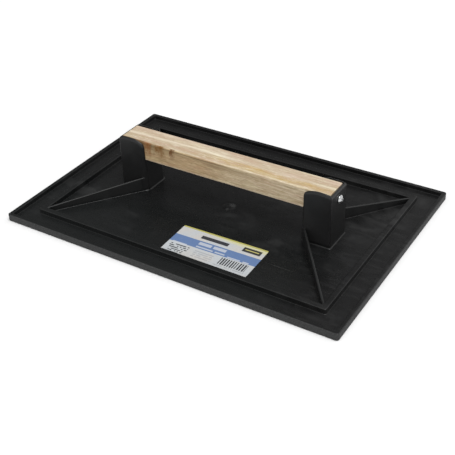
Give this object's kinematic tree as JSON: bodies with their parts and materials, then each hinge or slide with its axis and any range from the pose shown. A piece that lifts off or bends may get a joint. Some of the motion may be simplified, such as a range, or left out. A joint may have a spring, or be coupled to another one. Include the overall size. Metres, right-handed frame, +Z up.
{
  "type": "rectangular plastic hand float",
  "caption": "Rectangular hand float with a one-piece ribbed plastic plate and a wooden bar handle screwed between two moulded posts.",
  "frame": {"origin": "centre of the flat working face on the underside of the plate", "axes": "+Z up, away from the working face; +X along the long side of the plate and the handle; +Y across the plate, away from the label"},
  "size_m": [0.4, 0.276, 0.066],
  "materials": {
    "black_plastic": "satin injection-moulded black plastic with light scuffs",
    "pale_wood": "planed, unvarnished pale softwood",
    "zinc_screw": "bright zinc plating",
    "label_sheet": "printed adhesive paper label with plain coloured blocks"
  },
  "bodies": {
    "float": {"float_body": "black_plastic", "handle_grip": "pale_wood", "label": "label_sheet"},
    "screw_left": {"handle_screw_left": "zinc_screw"},
    "screw_right": {"handle_screw_right": "zinc_screw"}
  },
  "joints": [
    {"name": "screw_left_withdraw", "type": "slide", "parent": "float", "child": "screw_left", "axis": [-1, 0, 0], "range_m": [0, 0.032]},
    {"name": "screw_right_withdraw", "type": "slide", "parent": "float", "child": "screw_right", "axis": [1, 0, 0], "range_m": [0, 0.032]}
  ]
}
